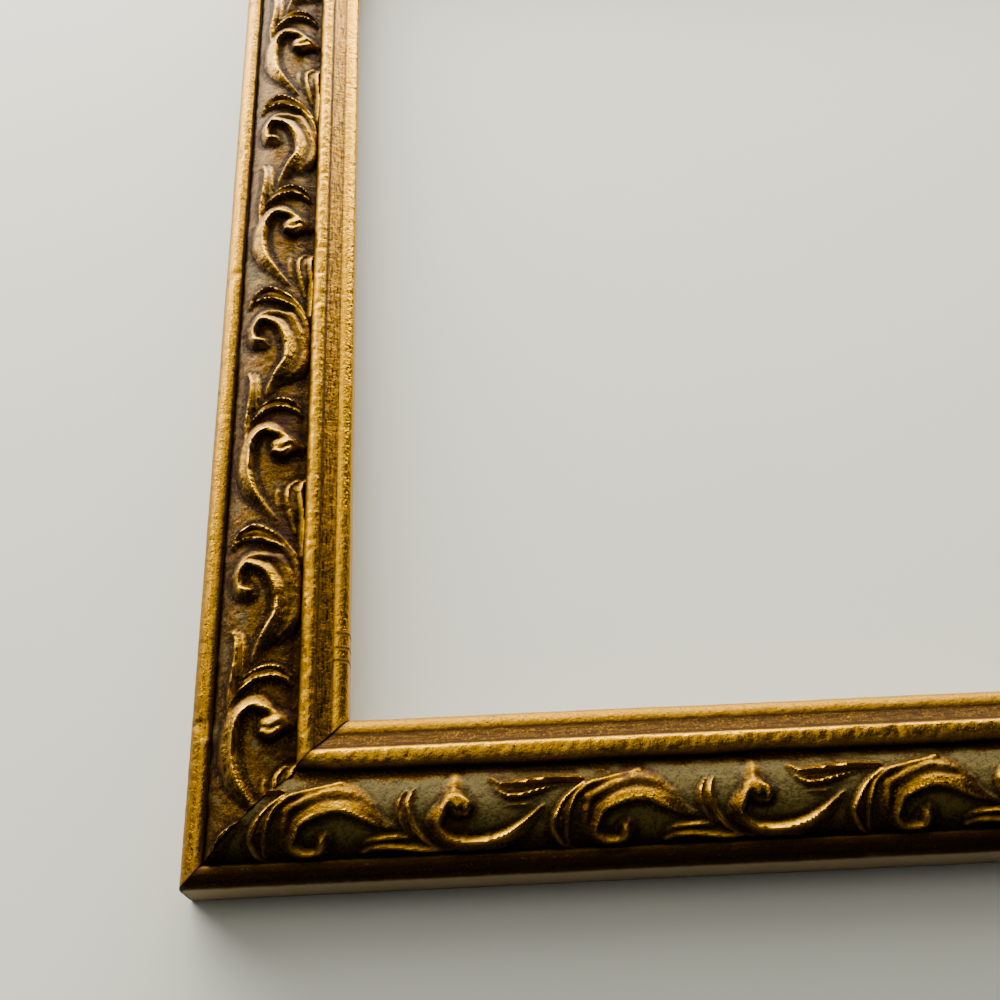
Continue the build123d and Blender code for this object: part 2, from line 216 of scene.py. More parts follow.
# Gesso and leaf over the plain mouldings, in millimetres
leafSkin = {
    "proud": 0.12,  # how far the gesso stands over the wood
    "buried": 0.14,  # how far its back lies in the wood
    "step": 0.5,  # length of a face along the rail
    # the line of the section from the outer wall over both beads to the sight edge, each run with its face count
    "section": [
        ("straight", (0, 0.15), (0, 9.1), 12),
        ("arc", (0, 9.1), (0.55, 10.12), (1.8, 10.8), 8),
        ("arc", (1.8, 10.8), (2.7, 10.95), (3.55, 10.6), 7),
        ("straight", (3.55, 10.6), (3.85, 10.0), 2),
        ("straight", (3.85, 10.0), (4.0, 8.3), 2),
        ("straight", (4.0, 8.3), (20.1, 8.3), 5),
        ("straight", (20.1, 8.3), (20.1, 10.6), 3),
        ("arc", (20.1, 10.6), (20.25, 12.2), (20.8, 12.98), 8),
        ("arc", (20.8, 12.98), (21.9, 13.3), (22.95, 12.92), 6),
        ("straight", (22.95, 12.92), (23.3, 12.5), 2),
        ("arc", (23.3, 12.5), (24.6, 11.66), (26.2, 10.98), 9),
        ("arc", (26.2, 10.98), (27.7, 10.8), (29.0, 9.8), 11),
        ("straight", (29.0, 9.8), (29.0, 6.9), 4),
    ],
    # where the forms lie across the moulding: the run at which each starts, is full, is still full, and ends
    "innerBead": (19.9, 20.6, 22.4, 23.2),
    "recess": (22.6, 23.2, 25.9, 26.4),
    "outerBeadEnd": (3.0, 3.9), "outerBeadFoot": (9.2, 9.8),  # it fades out over this run, and this height
    # unevenness of the surface: grain size, and height from lowest to highest
    "wave": (14, 0.16), "grain": (1.6, 0.10), "ragged": (1.0, 0.38), "dents": (2.7, 2.2),
    "rub": {"outerBead": 0.35, "innerBead": 0.55, "lip": 0.25},  # how bright hands keep them everywhere
    "mitreBole": (0.7, 0.8),  # how far bole shows beside a mitre, and how strongly
    "crackWidth": 0.28,
    # darker lines along the creases: run, width, strength
    "darkLines": [(3.9, 0.35, 0.5), (20.3, 0.5, 0.5), (23.3, 0.24, 0.55), (26.2, 0.26, 0.45)],
    # per rail: painted shade on the outer bead, painted shade and toning in the recess, how far the inner bead's
    # flank leans outwards, painted highlight and painted shade on the lip, and the lip's cracks along the rail
    "bottom": {"outerBeadShade": 1.1, "shadeAndToning": 0.72, "beadSpread": 0.85, "lipHighlight": 0.25, "lipShade": 0.45, "lipCracks": ()},
    "right": {"outerBeadShade": 0.35, "shadeAndToning": 0.35, "beadSpread": 0.4, "lipHighlight": 0.9, "lipShade": 0.1, "lipCracks": ()},
    "top": {"outerBeadShade": 0.2, "shadeAndToning": 0.4, "beadSpread": 0.5, "lipHighlight": 0.8, "lipShade": 0.0, "lipCracks": ()},
    "left": {"outerBeadShade": 0.0, "shadeAndToning": 0.1, "beadSpread": 0.0, "lipHighlight": 1.0, "lipShade": 0.0,
             "lipCracks": (256.1, 259.0, 261.6)},
}


def leafSection():
    path = []
    for kind, *points, count in leafSkin["section"]:
        line = arcThrough(*points, count) if kind == "arc" else straight(*points, count)
        path += line if not path else line[1:]
    path = np.array(path)
    normal = outwardFrom(path)
    front = path + normal * leafSkin["proud"]
    back = (path - normal * leafSkin["buried"])[::-1]
    keep = np.unique(np.concatenate([np.arange(0, len(back), 3), [len(back) - 1]]))  # the hidden back is coarser
    loop = np.concatenate([front, back[keep], front[:1]])
    away = np.concatenate([normal, normal[::-1][keep] * 0, normal[:1]])
    shown = np.concatenate([np.ones(len(front)), np.zeros(len(keep)), [1]])
    return loop, away, shown


def gildRail(side, seed):
    form, own = leafSkin, leafSkin[side]
    loop, away, shown = leafSection()
    runs, heights = loop[:, 0], loop[:, 1]
    length = railPlan[side]["length"]

    def raised(along, run, height):
        toMitre = np.minimum(along - run, length - along - run)
        outerBead = (1 - smoothStep(*form["outerBeadEnd"], run)) * smoothStep(*form["outerBeadFoot"], height)
        innerBead = between(run, *form["innerBead"])
        recess = between(run, *form["recess"])
        lip = smoothStep(26.6, 26.9, run)

        # The gesso is wavy and grainy, the inner bead ragged, and both beads are dented.
        (waveSize, waveHeight), (grainSize, grainHeight) = form["wave"], form["grain"]
        (raggedSize, raggedHeight), (dentSize, dentDepth) = form["ragged"], form["dents"]
        wave = (layeredNoise(along, run, waveSize, seed) - 0.5) * waveHeight
        grain = (layeredNoise(along, run, grainSize, seed + 9) - 0.5) * grainHeight
        ragged = innerBead * (layeredNoise(along, run * 1.6, raggedSize, seed + 21) - 0.45) * raggedHeight
        dents = np.clip(cellNoise(along, run, dentSize, seed + 33) - 0.86, 0, 1) * -dentDepth
        dents = dents * (outerBead + innerBead)
        lift = (wave + grain + ragged + dents) * shown[:, None]
        spread = own["beadSpread"] * smoothStep(0, 9, toMitre) * (0.8 + 0.4 * cellNoise(along, run, 5, seed + 61))
        spread = spread * smoothStep(19.3, 20.1, run) * (1 - smoothStep(20.3, 22.2, run)) * shown[:, None]
        wornRun = run + away[:, None, 0] * lift - spread
        wornHeight = height + away[:, None, 1] * lift

        # Darker lines run along the creases; painted shade lies on the outer bead, in the recess, on the lip and
        # under the scrollwork; the shoulder and the inner bead's flank are darker.
        flankEnd = run + 0.9 * (layeredNoise(along, run, 1.5, seed + 45) - 0.5)
        flank = smoothStep(20.1, 20.4, run) * (1 - smoothStep(20.6, 21.5, flankEnd))
        shoulder = (1 - smoothStep(0.6, 1.8, run)) * smoothStep(9.0, 9.6, height)
        # painted shade on the outer bead, darkest on the bottom rail
        outerBeadShade = own["outerBeadShade"] * outerBead * (0.75 + 0.5 * cellNoise(along, run, 6, seed + 41))
        grimeAndShade = sum(strength * lineAt(run, place, width) for place, width, strength in form["darkLines"])
        # painted shade and toning in the recess, and painted shade on the lip, both strongest on the bottom rail
        grimeAndShade = grimeAndShade + recess * own["shadeAndToning"] + smoothStep(25.9, 26.4, run) * own["lipShade"]
        # painted shade on the band hidden under the scrollwork, where it shows in the gaps
        grimeAndShade = grimeAndShade + outerBeadShade + 0.5 * shoulder + 0.45 * flank + (run > 3.95) * (run < 20.1)

        # Hands have rubbed both beads and the lip, and the lip gets a painted highlight, strongest on the left
        # rail.
        rub = form["rub"]
        rubAndHighlight = outerBead * rub["outerBead"] + innerBead * rub["innerBead"]
        rubAndHighlight = np.clip(rubAndHighlight + smoothStep(26.4, 27.0, run) * rub["lip"], 0, 1)
        rubAndHighlight = np.maximum(rubAndHighlight, smoothStep(26.3, 26.7, run) * own["lipHighlight"])
        rubAndHighlight = rubAndHighlight * (1 - 0.9 * own["outerBeadShade"] * outerBead)

        # Bole shows at the mitres, in chips on the outer bead, in dots further in, and in the lip's cracks.
        boleReach, boleStrength = form["mitreBole"]
        mitre = np.exp(-np.clip(toMitre, 0, 9) / boleReach) * boleStrength
        chips = np.clip(cellNoise(along, run * 2, 3.1, seed + 51) - 0.82, 0, 1) * 3 * outerBead
        dots = smoothStep(0.955, 0.99, cellNoise(along, run, 0.9, seed + 57)) * smoothStep(19.9, 20.6, run)
        cracks = sum(lineAt(along, place, form["crackWidth"]) for place in own["lipCracks"])
        bole = np.clip(mitre + chips + 0.8 * dots + cracks * lip, 0, 1)
        rubAndHighlight = rubAndHighlight * (1 - np.clip(cracks, 0, 1))
        grimeAndShade = np.clip(np.clip(grimeAndShade, 0, 1) + cracks * lip, 0, 1)
        paintedWall = (1 - smoothStep(8.9, 9.9, height)) * (1 - smoothStep(0.8, 2.0, run))
        return wornRun, wornHeight, [rubAndHighlight, grimeAndShade, paintedWall, bole]

    # the mitres gape a little, more towards the sight edge, and are chipped at the outer corner
    run, height = loop[:, 0:1], loop[:, 1:2]
    gap = 0.10 + 0.16 * smoothStep(22, 24, run) + 0.10 * cellNoise(run, height, 1.7, seed + 70)
    chipped = np.clip(1.1 - run, 0, 1) * smoothStep(7.5, 9.5, height) * 0.6
    skin = sweptPiece(side + "_gilding", side, runs, heights, gap + chipped, gap + chipped * 0.5,
                      int(length / form["step"]), raised)
    return skin


# Pressed scroll ornament over the domed middle, in millimetres
ornamentForm = {
    "start": 3.9, "end": 20.2, "edge": 10.2, "crest": 13.6,  # runs of the dome's edges, heights of edge and middle
    "rows": 60, "step": 0.29, "cell": 0.2,  # faces across, length of a face, and spacing of the pattern's grid
    "levelFrom": 15.0, "levelTo": 0.55,  # what stands over this height is worn down to this share of itself
    "slump": 0.22, "grain": 0.24,  # unevenness of the pressed surface, from lowest to highest
    "crestLine": 0.24, "fillet": 0.55, "rimDrop": 0.2,  # sharp tops, rise to the inner bead, low outer edge
    # phase is where the first scroll's hook stands from the rail's outer corner, shift moves the pattern inwards,
    # and squeeze narrows it. ground is how much olive crackle lies between the leaves, then come the painted shade
    # along the outer edge, the tarnish and painted shade on the low forms, and shine, the painted highlight on the
    # high ones
    "bottom": {"pitch": 53.35, "phase": 23.0, "shift": 0.1, "squeeze": 0.88,
               "ground": 1.0, "outerEdgeShade": 0.9, "tarnish": 0.28, "shine": 0.12},
    "right": {"pitch": 59.15, "phase": 37.0, "shift": 1.4, "squeeze": 0.94,
              "ground": 0.6, "outerEdgeShade": 0.5, "tarnish": 0.2, "shine": 0.2},
    "top": {"pitch": 53.35, "phase": 18.0, "shift": 1.2, "squeeze": 0.92,
            "ground": 0.9, "outerEdgeShade": 0.4, "tarnish": 0.25, "shine": 0.15},
    "left": {"pitch": 59.15, "phase": 8.9, "shift": 2.8, "squeeze": 1.0,
             "ground": 0.36, "outerEdgeShade": 0.3, "tarnish": 0.1, "shine": 0.36},
}

# Each stroke: line in shares of the pitch and of the dome's width, height, how far it falls to its left and right,
# how thin it gets at its start and finish, and how strongly its top is rubbed bright and given a painted
# highlight.
strokes = [
    # scroll with the hooked foot
    ([(-0.045, 0.30), (-0.03, 0.38), (0, 0.44), (0.037, 0.49), (0.08, 0.52), (0.127, 0.50), (0.17, 0.43),
      (0.22, 0.35), (0.263, 0.29)], 1.6, 4.2, 0.5, 0.6, 0.12, 1.0),
    ([(-0.045, 0.30), (-0.06, 0.17), (-0.024, 0.09), (0.03, 0.11), (0.04, 0.19)], 1.35, 0.5, 2.3, 0.9, 0.9, 0.7),
    ([(0.030, 0.13), (0.040, 0.20)], 1.6, 1.35, 1.35, 1, 1, 0.4),
    ([(-0.075, 0.52), (-0.087, 0.3), (-0.075, 0.14), (-0.02, 0.03)], 1.05, 1.5, 1.5, 0.8, 0.8, 0.0),
    ([(-0.07, 0.55), (0, 0.66), (0.08, 0.74), (0.15, 0.68), (0.2, 0.56)], 1.25, 3.0, 3.0, 0.7, 0.3, 0.0),
    ([(-0.125, 0.60), (-0.07, 0.70), (0.0, 0.76), (0.10, 0.84)], 1.2, 1.5, 1.5, 0.4, 0.8, 0.25),
    # tall double blade beside it
    ([(-0.09, 0.72), (-0.15, 0.55), (-0.18, 0.40), (-0.20, 0.25), (-0.19, 0.13), (-0.167, 0.03), (-0.13, -0.03)],
     1.0, 0.5, 0.6, 0.8, 0.5, 0.8),
    ([(-0.06, 0.72), (-0.115, 0.58), (-0.135, 0.45), (-0.15, 0.30), (-0.155, 0.13), (-0.147, 0.02)],
     0.95, 0.5, 0.5, 0.8, 0.5, 0.5),
    ([(-0.08, 0.71), (-0.13, 0.57), (-0.16, 0.40), (-0.175, 0.25), (-0.17, 0.08)], 0.6, 1.1, 1.1, 1, 0.6, 0.0),
    # low leaf at the outer edge
    ([(0.173, 0.06), (0.205, 0.10), (0.25, 0.11), (0.294, 0.10), (0.355, 0.075), (0.40, 0.06), (0.46, 0.05)],
     0.95, 0.5, 1.4, 0.4, 0.2, 1.0),
    ([(0.184, 0.17), (0.233, 0.195), (0.285, 0.20), (0.33, 0.18)], 0.8, 0.5, 0.5, 0.3, 0.3, 0.7),
    ([(0.18, 0.12), (0.24, 0.15), (0.32, 0.13)], 0.5, 1.1, 1.1, 0.5, 0.5, 0.0),
    # short double blade
    ([(0.318, 0.72), (0.298, 0.60), (0.295, 0.48), (0.308, 0.34), (0.326, 0.22)], 0.95, 0.5, 0.5, 0.4, 0.3, 0.7),
    ([(0.345, 0.74), (0.328, 0.60), (0.328, 0.47), (0.34, 0.33), (0.362, 0.22), (0.39, 0.12), (0.425, 0.05)],
     0.95, 0.5, 0.5, 0.4, 0.3, 0.8),
    ([(0.33, 0.70), (0.312, 0.5), (0.325, 0.33), (0.345, 0.22)], 0.55, 0.9, 0.9, 0.5, 0.5, 0.0),
    # crescent with the bulb
    ([(0.44, 0.45), (0.424, 0.36), (0.433, 0.26), (0.46, 0.185), (0.498, 0.15), (0.55, 0.14), (0.60, 0.155),
      (0.655, 0.21), (0.71, 0.32), (0.765, 0.47)], 1.55, 0.5, 3.0, 0.7, 0.08, 1.0),
    ([(0.44, 0.14), (0.51, 0.05), (0.60, 0.05), (0.67, 0.12)], 1.15, 2.0, 2.0, 0.6, 0.4, 0.0),
    ([(0.428, 0.34), (0.436, 0.45), (0.455, 0.56)], 1.35, 1.2, 1.1, 0.8, 1.0, 0.5),
    ([(0.474, 0.68), (0.480, 0.78), (0.482, 0.90)], 0.6, 2.4, 2.4, 1.0, 0.5, 0.3),
    ([(0.476, 0.58), (0.490, 0.52)], 2.1, 2.9, 2.6, 1, 1, 0.5),
    ([(0.498, 0.60), (0.520, 0.52), (0.513, 0.44)], 1.85, 1.2, 1.2, 0.9, 0.7, 0.5),
    # upper leaf along the inner edge
    ([(0.605, 0.81), (0.64, 0.745), (0.694, 0.74), (0.75, 0.765), (0.82, 0.775), (0.90, 0.78)],
     1.05, 2.0, 0.4, 0.5, 0.7, 1.0),
    ([(0.618, 0.70), (0.65, 0.615), (0.70, 0.605), (0.76, 0.65), (0.82, 0.71)], 0.85, 0.5, 0.45, 0.4, 0.3, 0.8),
    ([(0.62, 0.75), (0.68, 0.68), (0.76, 0.71)], 0.5, 1.1, 1.1, 0.6, 0.5, 0.0),
    ([(0.65, 0.50), (0.69, 0.49), (0.735, 0.51)], 0.4, 0.45, 0.45, 0.3, 0.3, 0.3),
]


def curveThrough(points, steps=6):  # a smooth line through all of the points
    points = np.array(points, dtype=float)
    padded = np.vstack([2 * points[0] - points[1], points, 2 * points[-1] - points[-2]])
    line = []
    for a, b, c, d in zip(padded[:-3], padded[1:-2], padded[2:-1], padded[3:]):
        for i in range(steps):
            t = i / steps
            line.append(0.5 * (2 * b + (c - a) * t + (2 * a - 5 * b + 4 * c - d) * t * t
                               + (3 * b - a - 3 * c + d) * t ** 3))
    line.append(points[-1])
    return np.array(line)


# One repeat of the ornament as two grids: the height of the relief, and the rub and painted highlight on its crest
# lines
def pressedPattern(pitch):
    width = ornamentForm["end"] - ornamentForm["start"]
    cell = ornamentForm["cell"]
    across = np.arange(-3.0, width + 3.0, cell)
    count = int(round(pitch / cell))
    gridU, gridV = np.meshgrid(np.arange(count) * pitch / count, across, indexing="ij")
    height = np.zeros_like(gridU)
    bright = np.zeros_like(gridU)
    for points, tall, left, right, start, end, shine in strokes:
        line = curveThrough(points) * (pitch, width)
        lengths = np.hypot(*np.diff(line, axis=0).T)
        reach = np.concatenate([[0], np.cumsum(lengths)]) / lengths.sum()
        for lap in (-1, 0, 1, 2):  # strokes also reach in from the repeats beside this one
            moved = line + (lap * pitch, 0)
            if moved[:, 0].max() < -6 or moved[:, 0].min() > pitch + 6:
                continue
            best = np.full_like(gridU, 1e9)
            side = np.zeros_like(gridU)
            place = np.zeros_like(gridU)
            for i in range(len(moved) - 1):
                dx, dy = moved[i + 1] - moved[i]
                rx, ry = gridU - moved[i][0], gridV - moved[i][1]
                t = np.clip((rx * dx + ry * dy) / (dx * dx + dy * dy), 0, 1)
                gap = np.hypot(rx - t * dx, ry - t * dy)
                nearer = gap < best
                best = np.where(nearer, gap, best)
                side = np.where(nearer, dx * ry - dy * rx, side)
                place = np.where(nearer, reach[i] + t * (reach[i + 1] - reach[i]), place)
            thin = start + (1 - start) * smoothStep(0, 0.3, place)
            thin = thin * (end + (1 - end) * smoothStep(0, 0.35, 1 - place))
            reachOut = np.where(side > 0, left, right) * (0.25 + 0.75 * thin)
            share = np.clip(best / reachOut, 0, 1)
            # wide falls are nearly even slopes, narrow ones are rounded
            fall = np.where(reachOut > 1.3, 1 - share ** 1.25, (1 - share ** 2) ** 0.8)
            ridge = tall * (0.3 + 0.7 * thin) * fall
            # where two strokes cross at about one height, they run into each other
            joined = np.clip(1 - np.abs(height - ridge) / 0.3, 0, 1) ** 2
            joined = joined * np.clip(np.minimum(height, ridge) / 0.3, 0, 1)
            height = np.maximum(height, ridge) + 0.07 * joined
            # each stroke's crest line gets rub and a painted highlight
            bright = np.maximum(bright, shine * thin * lineAt(best, 0, 0.27))
    return {"height": np.clip(height, 0, None), "bright": bright, "low": across[0], "cell": cell,
            "count": count, "pitch": pitch}


def readPattern(pattern, name, along, across):  # between four points of the grid, and round again along the rail
    field = pattern[name]
    gu = (along / pattern["pitch"] % 1.0) * pattern["count"]
    gv = np.clip((across - pattern["low"]) / pattern["cell"], 0, field.shape[1] - 1.001)
    iu, iv = np.floor(gu).astype(int), np.floor(gv).astype(int)
    fu, fv = gu - iu, gv - iv
    iu %= pattern["count"]
    nu = (iu + 1) % pattern["count"]
    return ((field[iu, iv] * (1 - fu) + field[nu, iv] * fu) * (1 - fv)
            + (field[iu, iv + 1] * (1 - fu) + field[nu, iv + 1] * fu) * fv)


def pressRail(side, pattern, seed):
    form, own = ornamentForm, ornamentForm[side]
    start, end, edge, crest = (form[key] for key in ("start", "end", "edge", "crest"))
    width, middle = end - start, (start + end) / 2
    length = railPlan[side]["length"]
    dome = np.array(arcThrough((start, edge), (middle, crest), (end, edge), form["rows"]))
    normal = outwardFrom(dome)
    # the underside lies hidden in the wood
    under = np.array([(end, edge - 1.2), (middle + 4, crest - 2.2), (middle, crest - 1.5),
                      (middle - 4, crest - 2.2), (start, edge - 1.2)])
    loop = np.concatenate([dome, under, dome[:1]])
    away = np.concatenate([normal, np.zeros_like(under), normal[:1]])
    shown = np.concatenate([np.ones(len(dome)), np.zeros(len(under)), [1]])

    def raised(along, run, height):
        across = run - start
        u = along - own["phase"] + (cellNoise(along, run, 19, seed) - 0.5) * 0.7
        v = (across - own["shift"]) / own["squeeze"] + (cellNoise(along, run, 13, seed + 3) - 0.5) * 0.5
        relief = readPattern(pattern, "height", u, v)
        bright = readPattern(pattern, "bright", u, v)

        # The relief is worn, slumped and grainy, runs out at its outer edge, and meets the inner bead in a fillet.
        rim = smoothStep(0, 0.9, across + 0.5 * (cellNoise(along, run, 2.3, seed + 7) - 0.5))
        fade = smoothStep(-0.5, 1.4, width - across)
        worn = 0.86 + 0.2 * cellNoise(along, run, 7, seed + 5)
        grain = (layeredNoise(along, run, 1.0, seed + 11) - 0.5) * (form["grain"] - 0.08 * own["ground"])
        slump = (layeredNoise(along, run, 5, seed + 13) - 0.5) * form["slump"]
        fillet = form["fillet"] * smoothStep(1.6, 0.1, width - across)
        body = relief * worn * (0.35 + 0.65 * rim) * fade
        crestLine = form["crestLine"] * bright
        lift = np.maximum(body, fillet) + crestLine + grain + slump * rim - form["rimDrop"] * (1 - rim)
        lift = lift * shown[:, None]
        wornRun = run + away[:, None, 0] * lift
        wornHeight = height + away[:, None, 1] * lift
        level = form["levelFrom"]
        wornHeight = np.minimum(wornHeight, level + (wornHeight - level) * form["levelTo"])

        # Painted shade in the hollows is found by comparing the relief with what stands round it, near by and
        # further off.
        nearBy = [(0.9, 0), (-0.9, 0), (0, 0.9), (0, -0.9), (0.6, 0.6), (-0.6, 0.6), (0.6, -0.6), (-0.6, -0.6)]
        further = [(1.7 * math.cos(a), 1.7 * math.sin(a)) for a in np.arange(8) * math.pi / 4]
        around, wide = (sum(readPattern(pattern, "height", u + du, v + dv) for du, dv in ring) / 8
                        for ring in (nearBy, further))
        hollowShade = np.clip((around - relief) * 3.4 + (wide - relief) * 2.2 - 0.08, 0, 1)
        # painted shade along the outer edge, strongest on the bottom rail
        outerEdgeShade = own["outerEdgeShade"] * smoothStep(4.2, 0.8, across + 1.5 * (layeredNoise(along, run, 3, seed + 8) - 0.5))

        # Ground between the leaves is olive, except along the inner bead, which gets painted shade.
        onForm = smoothStep(0.12, 0.5, relief)
        high = smoothStep(0.7, 1.5, relief)
        inner = smoothStep(0.76, 0.86, across / width + (cellNoise(along, run, 3, seed + 17) - 0.5) * 0.14)
        mottle = layeredNoise(along + 2 * cellNoise(along, run, 1.7, seed + 18), run, 3.1, seed + 19, 4)
        olive = (1 - onForm) * (1 - inner) * smoothStep(-0.08, 0.22, own["ground"] - mottle)
        olive = olive * (1 - 0.75 * np.clip(hollowShade + outerEdgeShade, 0, 1))
        patch = cellNoise(along, run, 8, seed + 23)
        bole = smoothStep(0.80, 0.88, patch) * smoothStep(0.35, 0.6, layeredNoise(along, run, 1.2, seed + 25))
        # painted shade in the hollows, at the sunk outer rim and beside the inner bead, and darker bare ground
        grimeAndShade = hollowShade + (1 - rim) * 0.45 + inner * 0.35 * (1 - onForm)
        grimeAndShade = grimeAndShade + (1 - onForm) * (0.34 - 0.2 * own["ground"])
        # tarnish and painted shade on the low forms, strongest on the bottom rail, and painted shade along the
        # outer edge
        grimeAndShade = np.clip(grimeAndShade + own["tarnish"] * (1 - high) + outerEdgeShade - 0.25 * bright, 0, 1)
        # rub and painted highlight on the crest lines, and painted highlight on the high forms, strongest on the
        # left rail
        rubAndHighlight = bright * smoothStep(0.1, 0.45, cellNoise(along, run, 1.4, seed + 27) + 0.2)
        rubAndHighlight = np.clip(rubAndHighlight + own["shine"] * high, 0, 1)
        return wornRun, wornHeight, [rubAndHighlight, grimeAndShade, olive, 0.7 * bole]

    gap = 0.08 + 0.14 * cellNoise(loop[:, 0:1], loop[:, 1:2], 1.3, seed + 31)
    columns = int((length - 2 * start) / form["step"])
    piece = sweptPiece(side + "_scrollwork", side, loop[:, 0], loop[:, 1], gap, gap, columns, raised)
    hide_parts(side + "_ornament")
    return piece


skins = {side: gildRail(side, 100 * (i + 1)) for i, side in enumerate(railPlan)}
print("gilding laid:", [len(skin.data.polygons) for skin in skins.values()])
patterns = {pitch: pressedPattern(pitch) for pitch in sorted({ornamentForm[side]["pitch"] for side in railPlan})}
scrolls = {side: pressRail(side, patterns[ornamentForm[side]["pitch"]], 1000 + 100 * i)
           for i, side in enumerate(railPlan)}
print("scrollwork pressed:", [len(scroll.data.polygons) for scroll in scrolls.values()])


leafColours = {
    "deep": "#2a1500", "dark": "#3a2200", "brown": "#573b00", "mid": "#775200", "high": "#a26f00",
    "rubAndHighlight": "#ce9500", "umber": "#201003", "sienna": "#2e1b00", "bole": "#2e0800",
    "olive": "#57491a", "oliveDark": "#2c220a", "paint": "#a08a66",
}
# Sizes are in millimetres. The leaf's own grain is far finer than the speck, which is drawn this coarse to show.
# The rough values are the bare leaf's, and what grain and grime with painted shade add, and polish with painted
# highlight takes away.
leafFinish = {
    "plain": {"speck": 0.42, "crinkle": 1.092, "blotch": 11, "streakSize": 0.5, "streak": 0.5, "spots": 0.6,
              "flecks": 0.35, "rough": 0.17, "roughGrain": 0.2, "roughGrimeAndShade": 0.38, "roughPolishAndHighlight": -0.06,
              "film": 0.12, "bump": 0.42, "leaf": ("deep", "mid", "high"),
              "steps": (0.41, 0.49, 0.57), "shadeAndToning": "sienna", "ground": False},
    "pressed": {"speck": 0.42, "crinkle": 1.218, "blotch": 11, "streakSize": 0.5, "streak": 0.0, "spots": 0.7,
                "flecks": 0.5, "rough": 0.16, "roughGrain": 0.2, "roughGrimeAndShade": 0.38, "roughPolishAndHighlight": -0.06,
                "film": 0.12, "bump": 0.48, "leaf": ("dark", "brown", "mid"),
                "steps": (0.36, 0.48, 0.60), "shadeAndToning": "umber", "ground": True},
}


